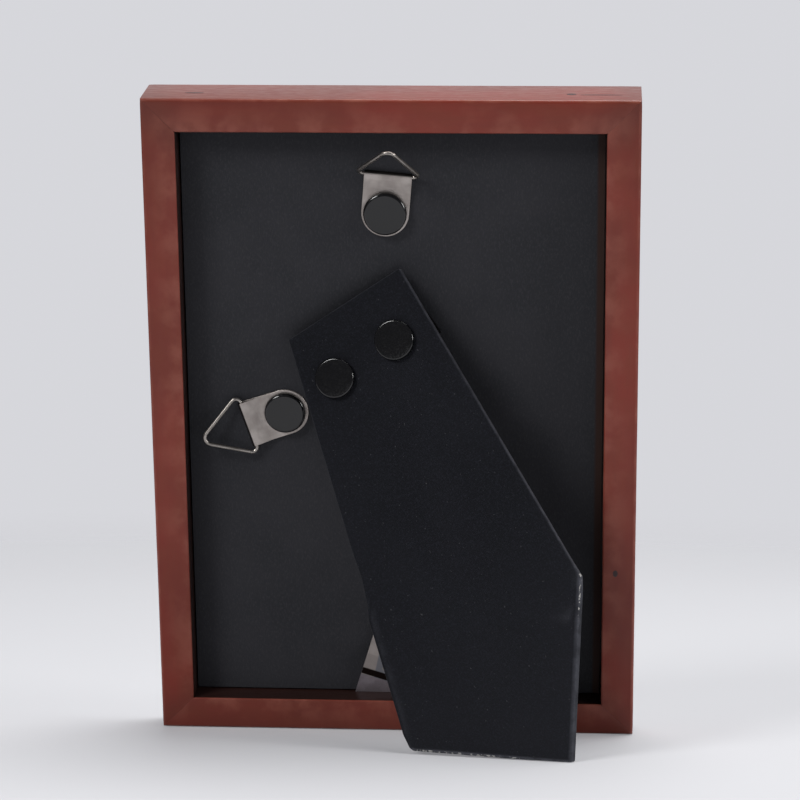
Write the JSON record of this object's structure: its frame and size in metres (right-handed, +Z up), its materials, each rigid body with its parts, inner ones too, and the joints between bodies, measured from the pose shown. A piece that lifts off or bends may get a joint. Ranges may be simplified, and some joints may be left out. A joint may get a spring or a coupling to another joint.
{
  "type": "coin display frame",
  "caption": "Mitred wooden box frame with coins behind glass, a two-way folding easel strut with a steel stay, and swivelling triangle-ring hangers.",
  "frame": {"origin": "bottom centre of the standing frame's box, on the surface it stands on", "axes": "+Z up, -Y towards the front with the coins, +X to the right as seen from the front; the frame leans back towards +Y"},
  "size_m": [0.15, 0.0778, 0.2024],
  "materials": {
    "rail_wood": "red-brown stained hardwood under satin varnish",
    "brad_steel": "bright steel wire",
    "glass": "clear picture glass",
    "mat": "matt dark blue mat with white bevels",
    "carrier": "matt black board",
    "coin_metal": "bright white coin metal with frosted relief",
    "card": "plain grey-brown card",
    "fibreboard": "bare fibreboard",
    "black_paper": "matt black paper",
    "velour": "black velour paper with a short nap",
    "black_enamel": "gloss black enamel on steel",
    "hanger_steel": "antique nickel plate, satin",
    "ring_wire": "antique nickel plated wire",
    "hinge_steel": "dull plated steel"
  },
  "bodies": {
    "frame": {"top_rail": "rail_wood", "bottom_rail": "rail_wood", "left_stile": "rail_wood", "right_stile": "rail_wood", "corner_brads": "brad_steel", "glass_pane": "glass", "mat_board": "mat", "coin_carrier": "carrier", "centre_coin": "coin_metal", "upper_left_coin": "coin_metal", "upper_right_coin": "coin_metal", "lower_left_coin": "coin_metal", "lower_right_coin": "coin_metal", "backing_card": "card", "backboard": "fibreboard", "backboard_cover": "black_paper", "top_hanger_rivet": "black_enamel", "side_hanger_rivet": "black_enamel", "hinge_fixed_leaf": "hinge_steel", "hinge_leaf_rivets": "hinge_steel", "hinge_pin": "hinge_steel", "stay_foot_plate": "hinge_steel", "stay_base_strap": "hinge_steel", "stay_base_rivets": "hinge_steel", "stay_pivot_pin": "hinge_steel"},
    "strut": {"hinge_moving_leaf": "hinge_steel", "strut_board": "fibreboard", "strut_cover": "velour", "strut_rivets": "black_enamel", "stay_keeper": "hinge_steel", "stay_keeper_rivets": "hinge_steel"},
    "stay": {"stay_leaf": "hinge_steel", "stay_cross_pin": "hinge_steel"},
    "top_hanger": {"top_hanger_plate": "hanger_steel"},
    "top_ring": {"top_hanger_ring": "ring_wire"},
    "side_hanger": {"side_hanger_plate": "hanger_steel"},
    "side_ring": {"side_hanger_ring": "ring_wire"}
  },
  "joints": [
    {"name": "strut_hinge", "type": "hinge", "parent": "frame", "child": "strut", "pos_m": [0.01422, 0.01269, 0.13403], "axis": [0.829, -0.1541, -0.5375], "range_deg": [-19.7, 0]},
    {"name": "stay_pivot", "type": "hinge", "parent": "frame", "child": "stay", "pos_m": [-0.01767, -0.00085, 0.085], "axis": [0.829, -0.1541, -0.5375], "range_deg": [-43.51, 0.01]},
    {"name": "top_hanger_swivel", "type": "hinge", "parent": "frame", "child": "top_hanger", "pos_m": [0.0022, 0.02024, 0.16361], "axis": [0, 0.9613, -0.2756], "range_deg": [-84.8, 95.2]},
    {"name": "top_ring_hinge", "type": "hinge", "parent": "top_hanger", "child": "top_ring", "pos_m": [0.00111, 0.02425, 0.17489], "axis": [-0.9959, -0.025, -0.0871], "range_deg": [-23, 99]},
    {"name": "side_hanger_swivel", "type": "hinge", "parent": "frame", "child": "side_hanger", "pos_m": [0.0341, 0.0026, 0.10209], "axis": [0, 0.9613, -0.2756], "range_deg": [-63.4, 41.6]},
    {"name": "side_ring_hinge", "type": "hinge", "parent": "side_hanger", "child": "side_ring", "pos_m": [0.04549, 0.00227, 0.09824], "axis": [0.3156, 0.2615, 0.9121], "range_deg": [-12, 136]}
  ],
  "couplings": [
    {"joint": "stay_pivot", "follows": "strut_hinge", "ratio": 2.2083}
  ]
}
